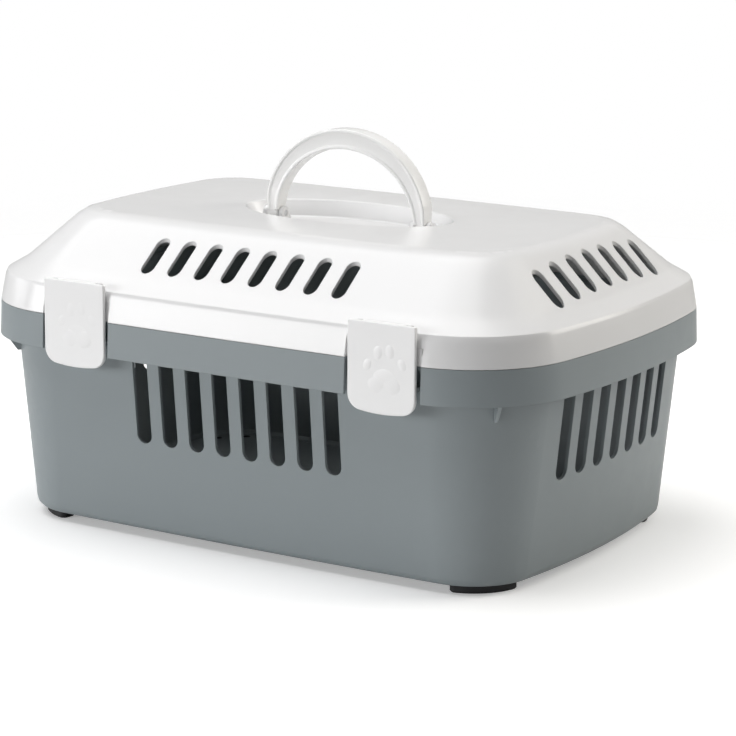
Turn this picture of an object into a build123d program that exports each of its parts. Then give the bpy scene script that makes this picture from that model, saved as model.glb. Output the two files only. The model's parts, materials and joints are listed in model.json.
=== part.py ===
"""Top-opening small-animal carrier: a vented tub, a hinged vented lid, two snap latches and a carrying handle.

Millimetres, +Z up. X runs along the long sides, the latches face -Y and the lid hinges along +Y.
The origin is on the floor, under the middle of the carrier's bounding box.
"""
import os
from math import atan2, cos, radians, sin

from build123d import *

os.makedirs("parts", exist_ok=True)

# Rim, where the lid meets the tub
rim_length = 485.0
rim_width = 340.0
rim_corner = 80.0
end_bow_radius = 720.0
side_bow_radius = 7700.0
rim_height = 165.0
lid_gap = 0.3

# Tub
wall = 2.5
foot_height = 6.0
tub_end_top_inset = 8.9
tub_end_bottom_inset = 24.5
tub_side_top_inset = 11.5
tub_side_bottom_inset = 26.5
tub_top_corner = 71.0
tub_bottom_corner = 50.0
tub_edge_round = 6.0
skirt_drop = 25.5
skirt_flare = 1.1
tongue_height = 4.0
tongue_inset = 4.4
tongue_thickness = 2.0

# Gussets under the skirt at the four corners
gusset_thickness = 2.5
gusset_drop = 13.0

# Tub vents
front_vent_count = 8
front_vent_pitch = 23.2
front_vent_width = 13.0
end_vent_count = 7
end_vent_pitch = 24.0
end_vent_width = 14.0
tub_vent_bottom = 74.5
front_vent_shift = 2.5
vent_skirt_cover = 9.0
vent_cut_depth = 36.0

# Lid sections: height above the rim, inset from the rim at the ends and at the sides, corner radius
lid_sections = [
    (lid_gap, 0.0, 0.0, rim_corner),
    (18.6, 3.3, 3.3, 77.5),
    (21.8, 4.9, 4.9, 76.0),
    (23.6, 8.0, 8.0, 73.5),
    (28.6, 16.5, 17.0, 66.0),
    (31.4, 19.8, 21.8, 63.0),
    (60.0, 48.6, 59.4, 42.0),
    (64.1, 54.4, 66.4, 38.0),
    (66.0, 62.0, 75.0, 33.0),
]

# Lid vents, moulded straight up through the slopes
front_roof_vent_width = 11.0
front_roof_vent_length = 28.0
front_roof_vent_inset = 25.5
end_roof_vent_width = 12.0
end_roof_vent_length = 24.0
end_roof_vent_inset = 23.0

# Oval handle recess in the roof
recess_length = 171.0
recess_width = 90.0
recess_depth = 12.5
recess_draft = 5.0
recess_lip = 2.4

# Handle
handle_depth = 12.0
handle_half_width = 69.0
handle_rise = 68.3
handle_leg = 9.5
handle_crown = 14.8
handle_round = 3.0
handle_floor_gap = 0.5
handle_pin_radius = 2.2
ear_thickness = 3.5
ear_gap = 0.4
ear_radius = 5.0
ear_base = 13.0

# Latches
latch_spread = 260.0
latch_shift = 4.5
latch_width = 53.5
latch_thickness = 2.6
latch_stand_off = 1.6
latch_rise = 3.0
latch_drop = 60.0
latch_corner = 11.0
latch_belly = 3.0
latch_axis_height = 24.2
latch_axis_setback = 5.0
latch_barrel_radius = 3.0
latch_barrel_relief = 0.6
latch_barrel_length = 34.0
latch_pin_radius = 1.5
latch_lug_radius = 3.0
latch_lug_thickness = 4.0
latch_lug_reach = 3.5
latch_lug_root = 6.0
latch_side_gap = 3.0
latch_back_gap = 1.4
latch_recess_top = 15.0
hook_width = 40.0
hook_length = 2.2
hook_height = 4.4
hook_chamfer = 1.2
hook_gap = 0.35
hook_clearance = 0.6
keeper_width = 48.0
keeper_height = 3.5
keeper_top = 149.5
notch_depth = 3.4

# Rear hinges
hinge_spread = 260.0
hinge_offset = 2.4
knuckle_radius = 4.2
lid_knuckle_length = 24.0
tub_knuckle_length = 10.0
knuckle_gap = 0.4
knuckle_relief = 0.5
hinge_pin_radius = 2.0
hinge_web_depth = 6.5
hinge_web_height = 8.0

# Fits
tight_fit = 0.02
running_fit = 0.08
pocket_gap = 0.5
bore_overrun = 1.0

# Corner feet
foot_width = 14.0
foot_edge_gap = 8.0
foot_sweep = 76.0
foot_bevel = 1.0
foot_peg_radius = 3.0
foot_peg_spread = 40.0


half_length = rim_length / 2
half_width = rim_width / 2
skirt_bottom = rim_height - skirt_drop
roof_height = rim_height + lid_sections[-1][0]


def end_bow(y):
    """How far an end of the rim falls back at a distance y from its middle."""
    return y * y / (2 * end_bow_radius)


def side_bow(x):
    """How far a long side falls back at a distance x from its middle."""
    return x * x / (2 * side_bow_radius)


def bowed_outline(height, inset_x, inset_y, corner):
    """A rounded rectangle with bowed sides, inset from the rim."""
    a = half_length - inset_x
    b = half_width - inset_y
    cx = a - end_bow(b)
    cy = b - side_bow(a)
    with BuildSketch(Plane.XY.offset(height)) as section:
        with BuildLine():
            ThreePointArc((-cx, -cy), (0, -b), (cx, -cy))
            ThreePointArc((cx, -cy), (a, 0), (cx, cy))
            ThreePointArc((cx, cy), (0, b), (-cx, cy))
            ThreePointArc((-cx, cy), (-a, 0), (-cx, -cy))
        make_face()
        fillet(section.vertices(), radius=corner)
    return section.sketch.face()


def bowed_loft(sections):
    """A solid through (height, inset at the ends, inset at the sides, corner radius) sections."""
    with BuildPart() as body:
        loft([bowed_outline(*section) for section in sections], ruled=True)
    return body.part


def oval_loft(sections):
    """A solid through (height, growth) sections of the recess's oval."""
    with BuildPart() as body:
        for height, grow in sections:
            with BuildSketch(Plane.XY.offset(height)):
                Ellipse(recess_length / 2 + grow, recess_width / 2 + grow)
        loft(ruled=True)
    return body.part


def inner_sections(sections, thickness):
    """The same sections moved inwards, square to the surface that they describe."""
    inner = []
    last = len(sections) - 1
    for i, (height, inset_x, inset_y, corner) in enumerate(sections):
        before = sections[max(i - 1, 0)]
        after = sections[min(i + 1, last)]
        rise = after[0] - before[0]
        run = after[2] - before[2]
        lean = atan2(run, rise) if i < last else radians(90)
        inward = thickness * cos(lean)
        down = thickness * sin(lean)
        inner.append((height - down, inset_x + inward, inset_y + inward, max(corner - inward, wall)))
    return inner


def corner_centre(inset_x, inset_y, corner):
    """The middle of the corner arc of an outline, in the +X +Y quarter."""
    a = half_length - inset_x
    b = half_width - inset_y
    return a - corner - end_bow(b - corner), b - corner - side_bow(a - corner)


def bar(centre_x, length, y, z, radius):
    """A round bar along X."""
    plane = Plane(origin=(centre_x - length / 2, y, z), x_dir=(0, 1, 0), z_dir=(1, 0, 0))
    with BuildPart() as body:
        with BuildSketch(plane):
            Circle(radius)
        extrude(amount=length)
    return body.part


def block(x0, x1, y0, y1, z0, z1):
    """A square block between two corners."""
    with BuildPart() as body:
        with BuildSketch(Plane.XY.offset(z0)):
            with Locations(((x0 + x1) / 2, (y0 + y1) / 2)):
                Rectangle(abs(x1 - x0), abs(y1 - y0))
        extrude(amount=z1 - z0)
    return body.part


def sides():
    """The left and the right of the carrier."""
    return (("left", -1), ("right", 1))


def latch_middle(side):
    """The middle of the left or the right latch along X."""
    return latch_shift + side * latch_spread / 2


def tub_insets(height):
    """How far the tub's wall stands in from the rim, at the ends and at the sides."""
    share = (rim_height - height) / (rim_height - foot_height)
    return (tub_end_top_inset + (tub_end_bottom_inset - tub_end_top_inset) * share,
            tub_side_top_inset + (tub_side_bottom_inset - tub_side_top_inset) * share)


# Places worked out from the sizes above
hinge_x = hinge_spread / 2
hinge_y = half_width + hinge_offset
rear_reach = hinge_y + knuckle_radius
front_reach = half_width + skirt_flare
frame_shift = (front_reach - rear_reach) / 2
band_y = -(half_width - side_bow(latch_spread / 2))
latch_front = band_y - latch_stand_off
latch_back = latch_front + latch_thickness
latch_y = latch_front + latch_axis_setback
latch_z = rim_height + latch_axis_height
notch_half = latch_width / 2 + latch_side_gap
hook_tip = latch_back + hook_length
keeper_y = hook_tip + hook_gap
hook_top = keeper_top - keeper_height - hook_clearance
keeper_reach = -(half_width - tub_insets(keeper_top)[1] - wall / 2)
recess_floor = roof_height - recess_depth
handle_z = recess_floor + handle_floor_gap + handle_depth / 2
ear_inner = handle_half_width - handle_leg - ear_gap - ear_thickness
ear_outer = handle_half_width + ear_gap
gusset_inset = sum(tub_insets(skirt_bottom)) / 2


def save(part, name):
    """Write a finished piece to its own file, with the origin under the middle of the bounding box."""
    placed = part.moved(Location((0, frame_shift, 0)))
    placed.label = name
    export_step(placed, "parts/" + name + ".step")


# Tub
with BuildPart() as tub:
    add(bowed_loft([
        (skirt_bottom, -skirt_flare, -skirt_flare, rim_corner + skirt_flare),
        (rim_height, 0, 0, rim_corner),
    ]))
    add(bowed_loft([
        (skirt_bottom, wall - skirt_flare, wall - skirt_flare, rim_corner + skirt_flare - wall),
        (rim_height - wall, wall, wall, rim_corner - wall),
    ]), mode=Mode.SUBTRACT)
    tub_round = [
        (
            foot_height + tub_edge_round * (1 - sin(radians(turn))),
            tub_end_bottom_inset + tub_edge_round * (1 - cos(radians(turn))),
            tub_side_bottom_inset + tub_edge_round * (1 - cos(radians(turn))),
            tub_bottom_corner - tub_edge_round * (1 - cos(radians(turn))),
        )
        for turn in (90, 60, 30, 0)
    ]
    add(bowed_loft(tub_round + [(rim_height, tub_end_top_inset, tub_side_top_inset, tub_top_corner)]))
    add(bowed_loft([
        (rim_height, tongue_inset, tongue_inset, rim_corner - tongue_inset),
        (rim_height + tongue_height, tongue_inset, tongue_inset, rim_corner - tongue_inset),
    ]))
    tongue_back = tongue_inset + tongue_thickness
    add(bowed_loft([
        (rim_height, tongue_back, tongue_back, rim_corner - tongue_back),
        (rim_height + tongue_height, tongue_back, tongue_back, rim_corner - tongue_back),
    ]), mode=Mode.SUBTRACT)

    # Corner gussets between the wall and the skirt
    for quarter in range(4):
        sx = 1 if quarter in (0, 3) else -1
        sy = 1 if quarter in (0, 1) else -1
        cx, cy = corner_centre(0, 0, rim_corner)
        direction = Vector(sx, sy, 0).normalized()
        plane = Plane(origin=(sx * cx, sy * cy, 0), x_dir=direction, z_dir=direction.cross(Vector(0, 0, 1)))
        wall_reach = rim_corner - gusset_inset - wall / 2
        skirt_reach = rim_corner - wall / 2
        with BuildSketch(plane):
            with BuildLine():
                Polyline(
                    (wall_reach, skirt_bottom - gusset_drop),
                    (wall_reach + wall, skirt_bottom - gusset_drop),
                    (skirt_reach, skirt_bottom + wall / 2),
                    (skirt_reach, rim_height - wall / 2),
                    (wall_reach, rim_height - wall / 2),
                    close=True,
                )
            make_face()
        extrude(amount=gusset_thickness / 2, both=True)

    # The cabin
    add(bowed_loft([
        (foot_height + wall, tub_end_bottom_inset + wall + tub_edge_round / 2,
         tub_side_bottom_inset + wall + tub_edge_round / 2, tub_bottom_corner - wall - tub_edge_round / 2),
        (foot_height + wall + tub_edge_round / 2, tub_end_bottom_inset + wall,
         tub_side_bottom_inset + wall, tub_bottom_corner - wall),
        (rim_height + wall, tub_end_top_inset + wall, tub_side_top_inset + wall, tub_top_corner - wall),
    ]), mode=Mode.SUBTRACT)

    # Vents in the long walls, running up behind the skirt
    vent_top = skirt_bottom + vent_skirt_cover
    vent_length = vent_top - tub_vent_bottom
    vent_middle = (vent_top + tub_vent_bottom) / 2
    long_wall_reach = half_width - wall - skirt_flare
    for facing in (-1, 1):
        plane = Plane(origin=(front_vent_shift, facing * (long_wall_reach - vent_cut_depth), 0),
                      x_dir=(1, 0, 0), z_dir=(0, facing, 0))
        with BuildSketch(plane):
            with Locations((0, vent_middle if plane.y_dir.Z > 0 else -vent_middle)):
                with GridLocations(front_vent_pitch, 1, front_vent_count, 1):
                    SlotOverall(vent_length, front_vent_width, rotation=90)
        extrude(amount=vent_cut_depth - wall, mode=Mode.SUBTRACT)

    # Vents in the end walls
    end_reach = half_length - wall - end_bow(end_vent_pitch * (end_vent_count - 1) / 2 + end_vent_width / 2)
    for facing in (-1, 1):
        plane = Plane(origin=(facing * (end_reach - vent_cut_depth), 0, 0),
                      x_dir=(0, 1, 0), z_dir=(facing, 0, 0))
        with BuildSketch(plane):
            with Locations((0, vent_middle if plane.y_dir.Z > 0 else -vent_middle)):
                with GridLocations(end_vent_pitch, 1, end_vent_count, 1):
                    SlotOverall(vent_length, end_vent_width, rotation=90)
        extrude(amount=vent_cut_depth - wall / 2, mode=Mode.SUBTRACT)

    # A notch in the skirt behind each latch, with the keeper that the latch hooks under
    for name, side in sides():
        middle = latch_middle(side)
        add(block(middle - notch_half, middle + notch_half, band_y - 2 * skirt_flare - wall, band_y + notch_depth,
                  skirt_bottom - bore_overrun, rim_height + bore_overrun), mode=Mode.SUBTRACT)
        add(block(middle - keeper_width / 2, middle + keeper_width / 2, keeper_y, keeper_reach,
                  keeper_top - keeper_height, keeper_top))

    # Rear hinge knuckles, cut clear round the lid's knuckle
    hinge_length = lid_knuckle_length + 2 * (knuckle_gap + tub_knuckle_length)
    for name, side in sides():
        middle = side * hinge_x
        add(bar(middle, hinge_length + 2 * knuckle_gap, hinge_y, rim_height, knuckle_radius + knuckle_relief),
            mode=Mode.SUBTRACT)
        for end in (-1, 1):
            start = middle + end * (lid_knuckle_length / 2 + knuckle_gap + tub_knuckle_length / 2)
            add(bar(start, tub_knuckle_length, hinge_y, rim_height, knuckle_radius))
            add(block(start - tub_knuckle_length / 2, start + tub_knuckle_length / 2,
                      hinge_y - hinge_web_depth, hinge_y, rim_height - hinge_web_height, rim_height))
        add(bar(middle, hinge_length + bore_overrun, hinge_y, rim_height, hinge_pin_radius + tight_fit),
            mode=Mode.SUBTRACT)

    # Holes for the pegs of the feet
    foot_x, foot_y = corner_centre(tub_end_bottom_inset, tub_side_bottom_inset, tub_bottom_corner)
    foot_middle_radius = tub_bottom_corner - foot_edge_gap - foot_width / 2
    for sx in (-1, 1):
        for sy in (-1, 1):
            for turn in (-foot_peg_spread / 2, foot_peg_spread / 2):
                angle = radians(45 + turn)
                with Locations((sx * (foot_x + foot_middle_radius * cos(angle)),
                                sy * (foot_y + foot_middle_radius * sin(angle)), foot_height + wall)):
                    Hole(radius=foot_peg_radius + tight_fit, depth=2 * wall)
save(tub.part, "tub")


# Lid
lid_levels = [(rim_height + h, ix, iy, r) for h, ix, iy, r in lid_sections]
with BuildPart() as lid:
    add(bowed_loft(lid_levels))
    hollow = inner_sections(lid_levels, wall)
    mouth = (lid_levels[0][0] - bore_overrun, hollow[0][1], hollow[0][2], hollow[0][3])
    add(bowed_loft([mouth] + hollow[1:]), mode=Mode.SUBTRACT)

    # The recess: a dished oval with a rounded lip
    add(oval_loft([
        (recess_floor - wall, wall - recess_draft - recess_lip),
        (recess_floor, wall - recess_draft),
        (roof_height - wall / 2, wall + recess_lip / 2),
    ]))
    add(oval_loft([
        (recess_floor, -recess_draft - recess_lip),
        (recess_floor + recess_lip / 3, -recess_draft - recess_lip / 3),
        (recess_floor + recess_lip, -recess_draft),
        (roof_height - recess_lip, 0),
        (roof_height - recess_lip / 3, recess_lip / 3),
        (roof_height, recess_lip),
        (roof_height + recess_lip, 3 * recess_lip),
    ]), mode=Mode.SUBTRACT)

    # Ears that carry the handle's pins
    for name, side in sides():
        for start in (ear_inner, ear_outer):
            middle = side * (start + ear_thickness / 2)
            add(bar(middle, ear_thickness, 0, handle_z, ear_radius))
            add(block(middle - ear_thickness / 2, middle + ear_thickness / 2, -ear_base / 2, ear_base / 2,
                      recess_floor - wall / 2, recess_floor + ear_thickness))
            add(block(middle - ear_thickness / 2, middle + ear_thickness / 2, -ear_radius, ear_radius,
                      recess_floor - wall / 2, handle_z))
        pin_middle = side * (handle_half_width - handle_leg / 2)
        add(bar(pin_middle, handle_leg + 2 * (ear_gap + ear_thickness) + bore_overrun, 0, handle_z,
                handle_pin_radius + tight_fit), mode=Mode.SUBTRACT)

    # Vents in the four slopes
    vent_y = half_width - front_roof_vent_inset - front_roof_vent_length / 2
    vent_x = half_length - end_roof_vent_inset - end_roof_vent_length / 2
    vent_floor = lid_levels[3][0] - wall
    with BuildSketch(Plane.XY.offset(vent_floor)):
        for facing in (-1, 1):
            with Locations((0, facing * vent_y)):
                with GridLocations(front_vent_pitch, 1, front_vent_count, 1):
                    SlotOverall(front_roof_vent_length, front_roof_vent_width, rotation=90)
            with Locations((facing * vent_x, 0)):
                with GridLocations(1, end_vent_pitch, 1, end_vent_count):
                    SlotOverall(end_roof_vent_length, end_roof_vent_width)
    extrude(amount=roof_height - vent_floor, mode=Mode.SUBTRACT)

    # A shallow recess behind each latch, backed by a pad, and the lugs that carry its pin
    recess_y = latch_back + latch_back_gap
    for name, side in sides():
        middle = latch_middle(side)
        add(block(middle - notch_half, middle + notch_half, recess_y - lid_gap, recess_y + wall / 2,
                  rim_height + lid_gap, rim_height + latch_recess_top - wall))
        add(block(middle - notch_half, middle + notch_half, latch_front - wall, recess_y,
                  rim_height, rim_height + latch_recess_top), mode=Mode.SUBTRACT)
        add(bar(middle, latch_barrel_length + 2 * knuckle_gap, latch_y, latch_z,
                latch_barrel_radius + latch_barrel_relief), mode=Mode.SUBTRACT)
        for end in (-1, 1):
            lug = middle + end * (latch_barrel_length / 2 + knuckle_gap + latch_lug_thickness / 2)
            add(bar(lug, latch_lug_thickness, latch_y, latch_z, latch_lug_radius))
            add(block(lug - latch_lug_thickness / 2, lug + latch_lug_thickness / 2, latch_y,
                      latch_y + latch_lug_reach, latch_z - latch_lug_root, latch_z))
        lug_span = latch_barrel_length + 2 * (knuckle_gap + latch_lug_thickness) + bore_overrun
        add(bar(middle, lug_span, latch_y, latch_z, latch_pin_radius + tight_fit), mode=Mode.SUBTRACT)

    # Rear knuckles, cut clear round the tub's knuckles
    for name, side in sides():
        middle = side * hinge_x
        add(bar(middle, hinge_length + 2 * knuckle_gap, hinge_y, rim_height, knuckle_radius + knuckle_relief),
            mode=Mode.SUBTRACT)
        add(bar(middle, lid_knuckle_length, hinge_y, rim_height, knuckle_radius))
        add(block(middle - lid_knuckle_length / 2, middle + lid_knuckle_length / 2, hinge_y - hinge_web_depth,
                  hinge_y, rim_height + lid_gap, rim_height + hinge_web_height))
        add(bar(middle, hinge_length + bore_overrun, hinge_y, rim_height, hinge_pin_radius + running_fit),
            mode=Mode.SUBTRACT)
save(lid.part, "lid")


# Handle: an arch that is thicker at its crown, with a pin eye at each foot
with BuildPart() as handle:
    with BuildSketch(Plane.XZ):
        with Locations((0, handle_z)):
            Ellipse(handle_half_width, handle_rise)
            Ellipse(handle_half_width - handle_leg, handle_rise - handle_crown, mode=Mode.SUBTRACT)
        with Locations((0, handle_z - handle_rise / 2)):
            Rectangle(2 * handle_half_width + bore_overrun, handle_rise, mode=Mode.SUBTRACT)
    extrude(amount=handle_depth / 2, both=True)
    rails = [edge for edge in handle.edges() if edge.geom_type == GeomType.ELLIPSE]
    fillet(rails, radius=handle_round)
    for name, side in sides():
        foot_middle = side * (handle_half_width - handle_leg / 2)
        add(bar(foot_middle, handle_leg, 0, handle_z, handle_depth / 2))
        add(bar(foot_middle, handle_leg + bore_overrun, 0, handle_z, handle_pin_radius + running_fit),
            mode=Mode.SUBTRACT)
save(handle.part, "handle")


def make_latch(middle):
    """A snap latch: a plate with a bowed lower edge, a hinge barrel behind its top and a hook below."""
    bottom = latch_z - latch_drop
    top = latch_z + latch_rise
    half = latch_width / 2
    with BuildPart() as latch:
        with BuildSketch(Plane(origin=(middle, latch_back, 0), x_dir=(1, 0, 0), z_dir=(0, -1, 0))) as outline:
            with BuildLine():
                Line((-half, bottom + latch_belly), (-half, top))
                Line((-half, top), (half, top))
                Line((half, top), (half, bottom + latch_belly))
                ThreePointArc((half, bottom + latch_belly), (0, bottom), (-half, bottom + latch_belly))
            make_face()
            fillet(outline.vertices().group_by(Axis.Y)[0], radius=latch_corner)
            fillet(outline.vertices().group_by(Axis.Y)[-1], radius=latch_thickness / 2)
        extrude(amount=latch_thickness)
        fillet(latch.faces().sort_by(Axis.Y)[0].edges(), radius=latch_thickness / 4)
        lug_span = latch_barrel_length + 2 * (2 * knuckle_gap + latch_lug_thickness)
        add(bar(middle, lug_span, latch_y, latch_z, latch_lug_radius + pocket_gap), mode=Mode.SUBTRACT)
        add(bar(middle, latch_barrel_length, latch_y, latch_z, latch_barrel_radius))
        add(block(middle - latch_barrel_length / 2, middle + latch_barrel_length / 2,
                  latch_back - latch_thickness / 2, latch_y, latch_z - latch_barrel_radius, latch_z))
        add(bar(middle, latch_barrel_length + bore_overrun, latch_y, latch_z, latch_pin_radius + running_fit),
            mode=Mode.SUBTRACT)
        with BuildSketch(Plane(origin=(middle - hook_width / 2, 0, 0), x_dir=(0, 1, 0), z_dir=(1, 0, 0))):
            with BuildLine():
                Polyline(
                    (latch_back - latch_thickness / 2, hook_top),
                    (hook_tip, hook_top),
                    (hook_tip, hook_top - hook_chamfer),
                    (latch_back, hook_top - hook_height),
                    (latch_back - latch_thickness / 2, hook_top - hook_height),
                    close=True,
                )
            make_face()
        extrude(amount=hook_width)
    return latch.part


for name, side in sides():
    save(make_latch(latch_middle(side)), "latch_" + name)


def make_pin(centre_x, length, y, z, radius):
    """A hinge pin along X with chamfered ends."""
    with BuildPart() as pin:
        add(bar(centre_x, length, y, z, radius))
        chamfer(pin.edges().filter_by(GeomType.CIRCLE), length=radius / 4)
    return pin.part


pins = []
for name, side in sides():
    latch_pin_length = latch_barrel_length + 2 * (knuckle_gap + latch_lug_thickness)
    handle_pin_length = handle_leg + 2 * (ear_gap + ear_thickness)
    handle_pin_x = side * (handle_half_width - handle_leg / 2)
    pins.append(("latch_pin_" + name, make_pin(latch_middle(side), latch_pin_length, latch_y, latch_z,
                                               latch_pin_radius)))
    pins.append(("handle_pin_" + name, make_pin(handle_pin_x, handle_pin_length, 0, handle_z,
                                                handle_pin_radius)))
    pins.append(("hinge_pin_" + name, make_pin(side * hinge_x, hinge_length, hinge_y, rim_height,
                                               hinge_pin_radius)))
for name, pin_part in pins:
    save(pin_part, name)


def make_foot(sx, sy):
    """A corner pad bent along the tub's bottom corner, with two pegs up into its floor."""
    with BuildPart() as foot:
        with BuildSketch(Plane.XY):
            with BuildLine():
                outer = foot_middle_radius + foot_width / 2
                inner = foot_middle_radius - foot_width / 2
                start = 45 - foot_sweep / 2
                first = CenterArc((foot_x, foot_y), outer, start, foot_sweep)
                second = CenterArc((foot_x, foot_y), inner, start, foot_sweep)
                Line(first @ 0, second @ 0)
                Line(first @ 1, second @ 1)
            make_face()
        extrude(amount=foot_height)
        fillet(foot.edges().filter_by(Axis.Z), radius=foot_width / 3)
        chamfer(foot.faces().sort_by(Axis.Z)[0].edges(), length=foot_bevel)
        for turn in (-foot_peg_spread / 2, foot_peg_spread / 2):
            angle = radians(45 + turn)
            with BuildSketch(Plane.XY.offset(foot_height)):
                with Locations((foot_x + foot_middle_radius * cos(angle),
                                foot_y + foot_middle_radius * sin(angle))):
                    Circle(foot_peg_radius)
            extrude(amount=wall)
    pad = foot.part
    if sx < 0:
        pad = mirror(pad, about=Plane.YZ)
    if sy < 0:
        pad = mirror(pad, about=Plane.XZ)
    return pad


for name, side in sides():
    for end, sy in (("front", -1), ("rear", 1)):
        save(make_foot(side, sy), "foot_" + end + "_" + name)
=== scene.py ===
"""A small hard-shell pet carrier, dressed for a studio picture: grey tub, white lid, latches and handle."""
import json
from math import cos, pi, radians, sin

import bmesh
import bpy
from mathutils import Matrix, Vector


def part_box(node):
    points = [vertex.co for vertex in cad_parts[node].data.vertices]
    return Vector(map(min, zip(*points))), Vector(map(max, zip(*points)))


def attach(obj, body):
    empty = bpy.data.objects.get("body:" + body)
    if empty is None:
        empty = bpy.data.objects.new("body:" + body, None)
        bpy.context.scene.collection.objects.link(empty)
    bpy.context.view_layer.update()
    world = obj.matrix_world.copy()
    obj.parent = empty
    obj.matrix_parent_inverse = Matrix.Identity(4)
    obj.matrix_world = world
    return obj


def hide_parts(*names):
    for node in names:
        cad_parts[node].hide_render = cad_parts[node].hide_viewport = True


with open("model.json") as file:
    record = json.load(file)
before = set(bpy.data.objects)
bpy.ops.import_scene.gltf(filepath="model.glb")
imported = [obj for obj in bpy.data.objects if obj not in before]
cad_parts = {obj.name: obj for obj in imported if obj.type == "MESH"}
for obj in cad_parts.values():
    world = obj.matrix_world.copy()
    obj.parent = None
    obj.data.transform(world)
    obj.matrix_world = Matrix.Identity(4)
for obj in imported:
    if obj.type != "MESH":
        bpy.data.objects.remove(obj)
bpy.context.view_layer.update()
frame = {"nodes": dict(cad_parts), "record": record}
behaviour = frame["record"]["behaviour"]
joint_places = {joint["name"]: Vector(joint["pos_m"]) for joint in behaviour["joints"]}
MM = 0.001

# The camera, as the photograph was taken: degrees, metres and millimetres of lens
CAMERA_AZIMUTH = 31.94
CAMERA_ELEVATION = 12.8
CAMERA_ROLL = 0.41
CAMERA_DISTANCE = 2.0741
CAMERA_TARGET = Vector((0.01904, -0.00419, 0.115))
CAMERA_LENS = 135.76
SENSOR_WIDTH = 36.0
CLIP_NEAR = 0.05
CLIP_FAR = 50.0

# Plastics, rubber and steel, as linear colours
TUB_GREY = (0.245, 0.278, 0.291)
LID_WHITE = (0.775, 0.774, 0.777)
LATCH_WHITE = (0.895, 0.894, 0.897)
HANDLE_WHITE = (0.865, 0.864, 0.858)
RUBBER_BLACK = (0.018, 0.018, 0.020)
STEEL_GREY = (0.56, 0.56, 0.57)
PLASTIC_IOR = 1.49

# How finely each finish is marked, in marks to the metre, and how deep, in metres
FLOW_MARKS = 14.0
POLISH_MARKS = 55.0
PLASTIC_GRAIN = 900.0
PLASTIC_GRAIN_DEPTH = 0.0002
RUBBER_PATCHES = 120.0
RUBBER_PITS = 1400.0
RUBBER_PIT_DEPTH = 0.0003
RUBBER_PIT_STRENGTH = 0.35
STEEL_LINES = 3000.0
STEEL_LINE_STRETCH = 0.05
NOISE_LOW = 0.3
NOISE_HIGH = 0.7

# Shading: corners sharper than these angles stay hard, in degrees; points closer than this are one
SHELL_CREASE = 30.0
HANDLE_CREASE = 35.0
SAME_POINT = 1e-6
BEVEL_SAMPLES = 4

# The handle's arch, in millimetres about its pins
HANDLE_HALF = 69.0
HANDLE_RISE = 68.3
HANDLE_LEG = 9.5
HANDLE_CROWN = 14.8
HANDLE_DEPTH = 12.0
HANDLE_FOOT = 2.7
HANDLE_STEPS = 72

# Above the ears of the recess the arch swells a little, and not at its crown
EAR_TOP = 6.0
SWELL_OVER = 10.0
SWELL = 1.4

# The handle's section: a bead along each edge and a channel between
EDGE_RADIUS = 1.1
BEAD_WIDTH = 2.1
BEAD_RADIUS = 0.6
CHANNEL_WALL = 0.9
CHANNEL_DEPTH = 0.8
CHANNEL_RADIUS = 0.5
CORNER_STEPS = 4

# The handle's eyes
EYE_RADIUS = 6.0
EYE_BORE = 2.28
EYE_CHAMFER = 0.5
EYE_FULL_LENGTH = 0.88
EYE_STEPS = 48

# The paw on each latch, in millimetres: across and up from the latch's top middle, half width,
# half height, and lean in degrees. Each piece is the top quarter of a dome.
PAW = ((-10.9, -29.6, 4.6, 6.6, 24), (-2.6, -20.6, 5.0, 7.6, 6), (7.0, -19.0, 5.0, 7.6, -6),
       (16.4, -27.0, 4.6, 6.6, -24), (3.0, -38.0, 14.0, 10.5, 0), (-4.6, -43.0, 9.0, 7.6, 20),
       (9.6, -43.0, 9.0, 7.6, -20))
PAW_RELIEF = {"latch_left": 0.20, "latch_right": 0.40}
PAW_DOME = 4
DOME_SEGMENTS = 32
DOME_RINGS = 16

# The white floor, how it fades into the backdrop, and what little light comes from all round
FLOOR_HALF = 3.0
FLOOR_WHITE = (0.90, 0.90, 0.90)
FLOOR_ROUGHNESS = 0.8
FLOOR_SHINE = 0.1
FLOOR_LIFT = 0.30
FLOOR_FADE_START = 0.55
FLOOR_FADE_END = 1.6
AMBIENT = 0.02
SHEEN = 0.34
BACKDROP_WHITE = (1.0, 1.0, 1.0)

# The lights look at this place
LIGHT_TARGET = Vector((0, 0, 0.12))
DAYLIGHT = (1.0, 1.0, 1.0)
WARM = (1.0, 0.97, 0.91)


def new_material(name):
    """A new material, its node tree and its Principled shader."""
    material = bpy.data.materials.new(name)
    material.use_nodes = True
    return material, material.node_tree, material.node_tree.nodes["Principled BSDF"]


def object_coordinates(tree):
    """Where the surface is on the object, in metres."""
    return tree.nodes.new("ShaderNodeTexCoord").outputs["Object"]


def noise(tree, vector, marks, detail=3.0, roughness=0.55):
    """A noise pattern, so many marks to the metre."""
    node = tree.nodes.new("ShaderNodeTexNoise")
    node.inputs["Scale"].default_value = marks
    node.inputs["Detail"].default_value = detail
    node.inputs["Roughness"].default_value = roughness
    tree.links.new(vector, node.inputs["Vector"])
    return node.outputs["Fac"]


def spread(tree, value, low, high):
    """A noise pattern's usual values, moved into a range."""
    node = tree.nodes.new("ShaderNodeMapRange")
    node.inputs["From Min"].default_value = NOISE_LOW
    node.inputs["From Max"].default_value = NOISE_HIGH
    node.inputs["To Min"].default_value = low
    node.inputs["To Max"].default_value = high
    tree.links.new(value, node.inputs["Value"])
    return node.outputs["Result"]


def maths(tree, operation, first, second):
    """A sum on a socket and another socket or number."""
    node = tree.nodes.new("ShaderNodeMath")
    node.operation = operation
    tree.links.new(first, node.inputs[0])
    if isinstance(second, float):
        node.inputs[1].default_value = second
    else:
        tree.links.new(second, node.inputs[1])
    return node.outputs["Value"]


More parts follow.
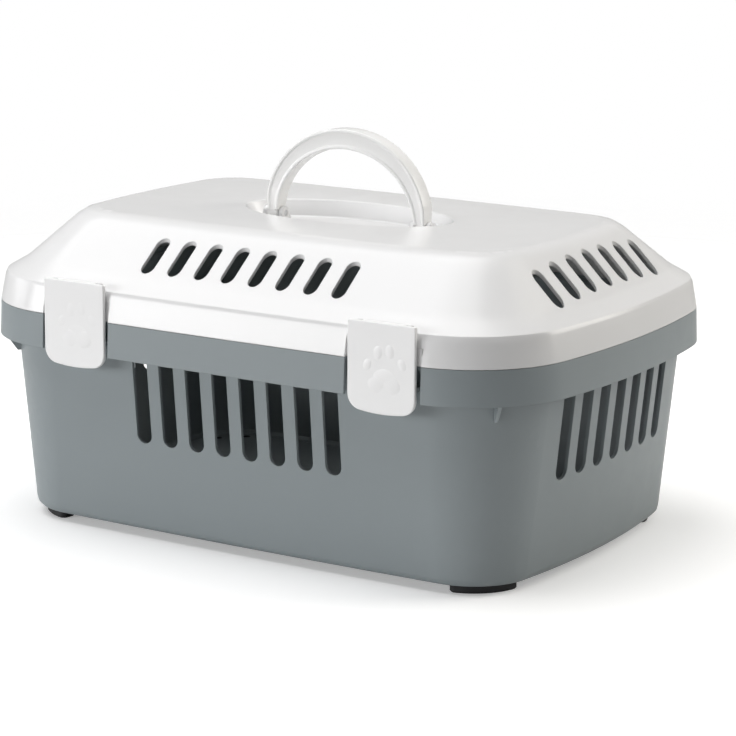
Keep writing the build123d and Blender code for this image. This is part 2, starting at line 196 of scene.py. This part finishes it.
def relief(tree, pattern, strength, depth, normal=None):
    """The surface's direction with a pattern raised on it."""
    bump = tree.nodes.new("ShaderNodeBump")
    bump.inputs["Strength"].default_value = strength
    bump.inputs["Distance"].default_value = depth
    tree.links.new(pattern, bump.inputs["Height"])
    if normal:
        tree.links.new(normal, bump.inputs["Normal"])
    return bump.outputs["Normal"]


def softened_edges(tree, radius):
    """The surface's direction with its edges rounded by so much."""
    edge = tree.nodes.new("ShaderNodeBevel")
    edge.samples = BEVEL_SAMPLES
    edge.inputs["Radius"].default_value = radius
    return edge.outputs["Normal"]


def moulded_plastic(name, colour, roughness, unevenness, edge_radius, grain=0.0):
    """Moulded plastic: an even colour with slight flow marks, softly rounded edges and perhaps a grain."""
    material, tree, shader = new_material(name)
    where = object_coordinates(tree)
    shade = tree.nodes.new("ShaderNodeMixRGB")
    shade.inputs["Color1"].default_value = (*[c * (1 - unevenness / 2) for c in colour], 1)
    shade.inputs["Color2"].default_value = (*[c * (1 + unevenness / 2) for c in colour], 1)
    tree.links.new(noise(tree, where, FLOW_MARKS, detail=2.0), shade.inputs["Fac"])
    tree.links.new(shade.outputs["Color"], shader.inputs["Base Color"])
    polish = noise(tree, where, POLISH_MARKS, detail=4.0)
    dullness = spread(tree, polish, roughness - unevenness, roughness + unevenness)
    tree.links.new(dullness, shader.inputs["Roughness"])
    normal = softened_edges(tree, edge_radius)
    if grain:
        pattern = noise(tree, where, PLASTIC_GRAIN, detail=2.0)
        normal = relief(tree, pattern, grain, PLASTIC_GRAIN_DEPTH, normal)
    tree.links.new(normal, shader.inputs["Normal"])
    shader.inputs["IOR"].default_value = PLASTIC_IOR
    return material


def rubber():
    """Soft black rubber with a dull, finely pitted skin."""
    material, tree, shader = new_material("foot_rubber")
    where = object_coordinates(tree)
    shader.inputs["Base Color"].default_value = (*RUBBER_BLACK, 1)
    patches = noise(tree, where, RUBBER_PATCHES)
    tree.links.new(spread(tree, patches, 0.62, 0.80), shader.inputs["Roughness"])
    pits = noise(tree, where, RUBBER_PITS)
    normal = relief(tree, pits, RUBBER_PIT_STRENGTH, RUBBER_PIT_DEPTH)
    tree.links.new(normal, shader.inputs["Normal"])
    return material


def drawn_steel():
    """Drawn steel wire: metal with fine lines along X."""
    material, tree, shader = new_material("pin_steel")
    stretch = tree.nodes.new("ShaderNodeMapping")
    stretch.inputs["Scale"].default_value = (STEEL_LINE_STRETCH, 1.0, 1.0)
    tree.links.new(object_coordinates(tree), stretch.inputs["Vector"])
    lines = noise(tree, stretch.outputs["Vector"], STEEL_LINES, detail=2.0)
    shader.inputs["Base Color"].default_value = (*STEEL_GREY, 1)
    shader.inputs["Metallic"].default_value = 1.0
    tree.links.new(spread(tree, lines, 0.22, 0.42), shader.inputs["Roughness"])
    return material


def link_object(name, mesh, material):
    """A new piece in the scene, in its material."""
    piece = bpy.data.objects.new(name, mesh)
    bpy.context.scene.collection.objects.link(piece)
    mesh.materials.clear()
    mesh.materials.append(material)
    return piece


def body_of_node(node):
    """The body that carries a node."""
    for body, members in behaviour["bodies"].items():
        if node in members:
            return body
    raise ValueError(node)


def slot_of_node(node):
    """The record's material slot of a node."""
    for part in frame["record"]["subparts"]:
        if part["node"] == node:
            return part["material_slot"]
    raise ValueError(node)


def shade_smooth(mesh, crease):
    """Smooth faces, with hard edges where two faces meet at more than the crease."""
    for face in mesh.faces:
        face.smooth = True
    for edge in mesh.edges:
        if len(edge.link_faces) == 2:
            edge.smooth = edge.calc_face_angle(0.0) < radians(crease)


def mesh_from(name, shape):
    """A mesh with this name from a shape, which is let go."""
    mesh = bpy.data.meshes.new(name)
    shape.to_mesh(mesh)
    shape.free()
    return mesh


def moulding(node, material):
    """The node's own surface with its corners joined up and shaded as one moulding."""
    mesh = frame["nodes"][node].data.copy()
    skin = bmesh.new()
    skin.from_mesh(mesh)
    bmesh.ops.remove_doubles(skin, verts=skin.verts, dist=SAME_POINT)
    bmesh.ops.dissolve_degenerate(skin, edges=skin.edges, dist=SAME_POINT)
    shade_smooth(skin, SHELL_CREASE)
    skin.to_mesh(mesh)
    skin.free()
    piece = link_object(node + "_moulding", mesh, material)
    weight = piece.modifiers.new("even_shading", "WEIGHTED_NORMAL")
    weight.keep_sharp = True
    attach(piece, body_of_node(node))
    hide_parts(node)


def at_handle(across, deep, up):
    """A place about the handle's pins, from millimetres to the frame."""
    return joint_places["handle_hinge"] + Vector((across, deep, up)) * MM


def closed_loop(shape, places):
    """The edges of a closed loop through some places."""
    points = [shape.verts.new(place) for place in places]
    return [shape.edges.new((points[k - 1], points[k])) for k in range(len(points))]


def rounded_outline(corners):
    """A closed outline from (across, deep, radius) corners, each turned with its own radius."""
    outline = []
    for last, this, after in zip(corners[-1:] + corners[:-1], corners, corners[1:] + corners[:1]):
        corner = Vector(this[:2])
        start = corner + (Vector(last[:2]) - corner).normalized() * this[2]
        end = corner + (Vector(after[:2]) - corner).normalized() * this[2]
        for k in range(CORNER_STEPS + 1):
            t = k / CORNER_STEPS
            outline.append(start * (1 - t) ** 2 + corner * 2 * t * (1 - t) + end * t * t)
    return outline


def handle_section(width, depth):
    """The handle's section: a bead along each edge with a shallow channel between, front and back."""
    edge, face = width / 2, -depth / 2
    bead = edge - BEAD_WIDTH
    channel = bead - CHANNEL_WALL
    front = [(-edge, face, EDGE_RADIUS), (-bead, face, BEAD_RADIUS),
             (-channel, face + CHANNEL_DEPTH, CHANNEL_RADIUS),
             (channel, face + CHANNEL_DEPTH, CHANNEL_RADIUS),
             (bead, face, BEAD_RADIUS), (edge, face, EDGE_RADIUS)]
    return rounded_outline(front + [(-x, -y, radius) for x, y, radius in front])


def handle_ring(shape, turn, foot):
    """The handle's section so far round its half-elliptic arch, level where it ends at a foot."""
    rise = max(sin(turn), 0.0)
    outer = Vector((HANDLE_HALF * cos(turn), HANDLE_RISE * rise))
    inner = Vector(((HANDLE_HALF - HANDLE_LEG) * cos(turn), (HANDLE_RISE - HANDLE_CROWN) * rise))
    across = (outer - inner).normalized()
    clear = min(max((outer.y - EAR_TOP) / SWELL_OVER, 0.0), 1.0)
    outer = outer + across * SWELL * clear * (1 - rise ** 4)
    middle = (outer + inner) / 2
    if foot:
        middle.y = HANDLE_FOOT
    places = []
    for point in handle_section((outer - inner).length, HANDLE_DEPTH + SWELL * clear):
        place = middle + across * point.x
        places.append(at_handle(place.x, point.y, place.y))
    return closed_loop(shape, places)


def handle_eye(shape, middle):
    """A bored eye with chamfered ends: half its section, turned right round the pin."""
    profile = ((EYE_BORE, -1), (EYE_RADIUS - EYE_CHAMFER, -1), (EYE_RADIUS, -EYE_FULL_LENGTH),
               (EYE_RADIUS, EYE_FULL_LENGTH), (EYE_RADIUS - EYE_CHAMFER, 1), (EYE_BORE, 1))
    edges = closed_loop(shape, [at_handle(middle + end * HANDLE_LEG / 2, radius, 0)
                                for radius, end in profile])
    points = list({point for edge in edges for point in edge.verts})
    bmesh.ops.spin(shape, geom=points + edges, cent=at_handle(0, 0, 0), axis=(1, 0, 0),
                   angle=2 * pi, steps=EYE_STEPS, use_merge=True)


def handle_arch(material):
    """The handle: an arch that thickens to its crown, with a bored eye at each foot."""
    shape = bmesh.new()
    rings = [handle_ring(shape, pi * i / HANDLE_STEPS, i in (0, HANDLE_STEPS))
             for i in range(HANDLE_STEPS + 1)]
    for low, high in zip(rings, rings[1:]):
        bmesh.ops.bridge_loops(shape, edges=low + high)
    for foot in (rings[0], rings[-1]):
        bmesh.ops.contextual_create(shape, geom=foot)
    for side in (-1, 1):
        handle_eye(shape, side * (HANDLE_HALF - HANDLE_LEG / 2))
    bmesh.ops.recalc_face_normals(shape, faces=shape.faces)
    shade_smooth(shape, HANDLE_CREASE)
    piece = link_object("handle_arch", mesh_from("handle_arch", shape), material)
    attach(piece, "handle")
    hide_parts("handle")


def paw_relief(latch, height, material):
    """A faint raised paw on a latch: four toes and a pad, each the cap of a sunk dome."""
    low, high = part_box(latch)
    top_middle = Vector(((low.x + high.x) / 2, low.y, high.z))
    dome = PAW_DOME * height
    shape = bmesh.new()
    for x, z, half_width, half_height, lean in PAW:
        place = Matrix.Translation(top_middle + Vector((x, dome - height, z)) * MM)
        size = Matrix.Diagonal((half_width * MM, dome * MM, half_height * MM, 1))
        bmesh.ops.create_uvsphere(shape, u_segments=DOME_SEGMENTS, v_segments=DOME_RINGS, radius=1.0,
                                  matrix=place @ Matrix.Rotation(radians(lean), 4, "Y") @ size)
    for face in shape.faces:
        face.smooth = True
    piece = link_object(latch + "_paw", mesh_from(latch + "_paw", shape), material)
    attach(piece, latch)


def carrier():
    """Every piece of the carrier, dressed."""
    tub_plastic = moulded_plastic("tub_plastic", TUB_GREY, roughness=0.40, unevenness=0.035,
                                  edge_radius=0.0006, grain=0.06)
    lid_plastic = moulded_plastic("lid_plastic", LID_WHITE, roughness=0.22, unevenness=0.010,
                                  edge_radius=0.0010)
    latch_plastic = moulded_plastic("latch_plastic", LATCH_WHITE, roughness=0.34, unevenness=0.020,
                                    edge_radius=0.0012)
    handle_plastic = moulded_plastic("handle_plastic", HANDLE_WHITE, roughness=0.22, unevenness=0.015,
                                     edge_radius=0.0004)
    foot_rubber = rubber()
    pin_steel = drawn_steel()

    moulding("tub", tub_plastic)
    moulding("lid", lid_plastic)
    moulding("latch_left", latch_plastic)
    moulding("latch_right", latch_plastic)
    handle_arch(handle_plastic)
    for latch, height in PAW_RELIEF.items():
        paw_relief(latch, height, latch_plastic)
    for node, cad in frame["nodes"].items():
        finish = {"foot_rubber": foot_rubber, "pin_steel": pin_steel}.get(slot_of_node(node))
        if finish:
            cad.data.materials.clear()
            cad.data.materials.append(finish)


def camera():
    """The camera at the photograph's own view."""
    azimuth, elevation, roll = (radians(a) for a in (CAMERA_AZIMUTH, CAMERA_ELEVATION, CAMERA_ROLL))
    back = Vector((sin(azimuth) * cos(elevation), -cos(azimuth) * cos(elevation), sin(elevation)))
    right = Vector((0, 0, 1)).cross(back).normalized()
    up = back.cross(right)
    level_right = right * cos(roll) + up * sin(roll)
    level_up = up * cos(roll) - right * sin(roll)
    turn = Matrix((level_right, level_up, back)).transposed().to_4x4()
    data = bpy.data.cameras.new("camera")
    data.lens = CAMERA_LENS
    data.sensor_width = SENSOR_WIDTH
    data.sensor_fit = "HORIZONTAL"
    data.clip_start = CLIP_NEAR
    data.clip_end = CLIP_FAR
    data.dof.use_dof = False
    holder = bpy.data.objects.new("camera", data)
    holder.matrix_world = Matrix.Translation(CAMERA_TARGET + back * CAMERA_DISTANCE) @ turn
    bpy.context.scene.collection.objects.link(holder)
    bpy.context.scene.camera = holder


def soft_box(name, azimuth, elevation, distance, size, power, colour=DAYLIGHT):
    """A soft box that looks at the middle of the carrier: degrees, metres and watts."""
    data = bpy.data.lights.new(name, "AREA")
    data.shape = "RECTANGLE"
    data.size, data.size_y = size
    data.energy = power
    data.color = colour
    holder = bpy.data.objects.new(name, data)
    a, e = radians(azimuth), radians(elevation)
    towards = Vector((sin(a) * cos(e), -cos(a) * cos(e), sin(e)))
    holder.location = LIGHT_TARGET + towards * distance
    holder.rotation_euler = towards.to_track_quat("Z", "Y").to_euler()
    bpy.context.scene.collection.objects.link(holder)


def floor_paper():
    """White paper that thins out into the bare white backdrop away from the carrier."""
    material, tree, shader = new_material("floor_white")
    shader.inputs["Base Color"].default_value = (*FLOOR_WHITE, 1)
    shader.inputs["Roughness"].default_value = FLOOR_ROUGHNESS
    shader.inputs["Specular IOR Level"].default_value = FLOOR_SHINE
    path = tree.nodes.new("ShaderNodeLightPath")
    glow = tree.nodes.new("ShaderNodeEmission")
    lift = maths(tree, "MULTIPLY", path.outputs["Is Camera Ray"], FLOOR_LIFT)
    tree.links.new(lift, glow.inputs["Strength"])
    paper = tree.nodes.new("ShaderNodeAddShader")
    tree.links.new(shader.outputs["BSDF"], paper.inputs[0])
    tree.links.new(glow.outputs["Emission"], paper.inputs[1])
    distance = tree.nodes.new("ShaderNodeVectorMath")
    distance.operation = "LENGTH"
    tree.links.new(object_coordinates(tree), distance.inputs[0])
    fade = tree.nodes.new("ShaderNodeMapRange")
    fade.interpolation_type = "SMOOTHSTEP"
    fade.inputs["From Min"].default_value = FLOOR_FADE_START
    fade.inputs["From Max"].default_value = FLOOR_FADE_END
    tree.links.new(distance.outputs["Value"], fade.inputs["Value"])
    bare = tree.nodes.new("ShaderNodeBsdfTransparent")
    blend = tree.nodes.new("ShaderNodeMixShader")
    tree.links.new(fade.outputs["Result"], blend.inputs["Fac"])
    tree.links.new(paper.outputs["Shader"], blend.inputs[1])
    tree.links.new(bare.outputs["BSDF"], blend.inputs[2])
    tree.links.new(blend.outputs["Shader"], tree.nodes["Material Output"].inputs["Surface"])
    return material


def floor():
    """The flat white floor."""
    shape = bmesh.new()
    bmesh.ops.create_grid(shape, x_segments=1, y_segments=1, size=FLOOR_HALF)
    link_object("floor", mesh_from("floor", shape), floor_paper())


def backdrop():
    """Pure white to the camera, a soft sheen in reflections and next to no light on the carrier."""
    world = bpy.data.worlds.new("studio")
    bpy.context.scene.world = world
    world.use_nodes = True
    tree = world.node_tree
    path = tree.nodes.new("ShaderNodeLightPath")
    seen = maths(tree, "MAXIMUM", path.outputs["Is Camera Ray"], path.outputs["Is Transmission Ray"])
    sheen = maths(tree, "MULTIPLY", path.outputs["Is Glossy Ray"], SHEEN)
    strength = maths(tree, "MAXIMUM", maths(tree, "MAXIMUM", seen, sheen), AMBIENT)
    background = tree.nodes["Background"]
    background.inputs["Color"].default_value = (*BACKDROP_WHITE, 1)
    tree.links.new(strength, background.inputs["Strength"])


def lights():
    """Soft light from above and the left, with a warmer one behind on the right."""
    soft_box("rear_right_high", 135, 45, 2.2, (1.2, 1.2), 7.7, WARM)
    soft_box("rear_right", 130, 22, 2.2, (1.2, 1.2), 19.6, WARM)
    soft_box("overhead", 0, 88, 2.0, (2.0, 2.0), 14.0)
    soft_box("overhead_left", -70, 70, 2.0, (2.0, 2.0), 30.1)
    soft_box("low_left", -42, 8, 4.0, (1.8, 1.0), 47.0)
    soft_box("low_front", -20, 8, 4.0, (1.4, 1.0), 24.6)
    soft_box("low_far_left", -75, 8, 4.0, (1.6, 1.0), 14.5)


carrier()
camera()
floor()
backdrop()
lights()
bpy.context.scene.view_settings.view_transform = "Standard"
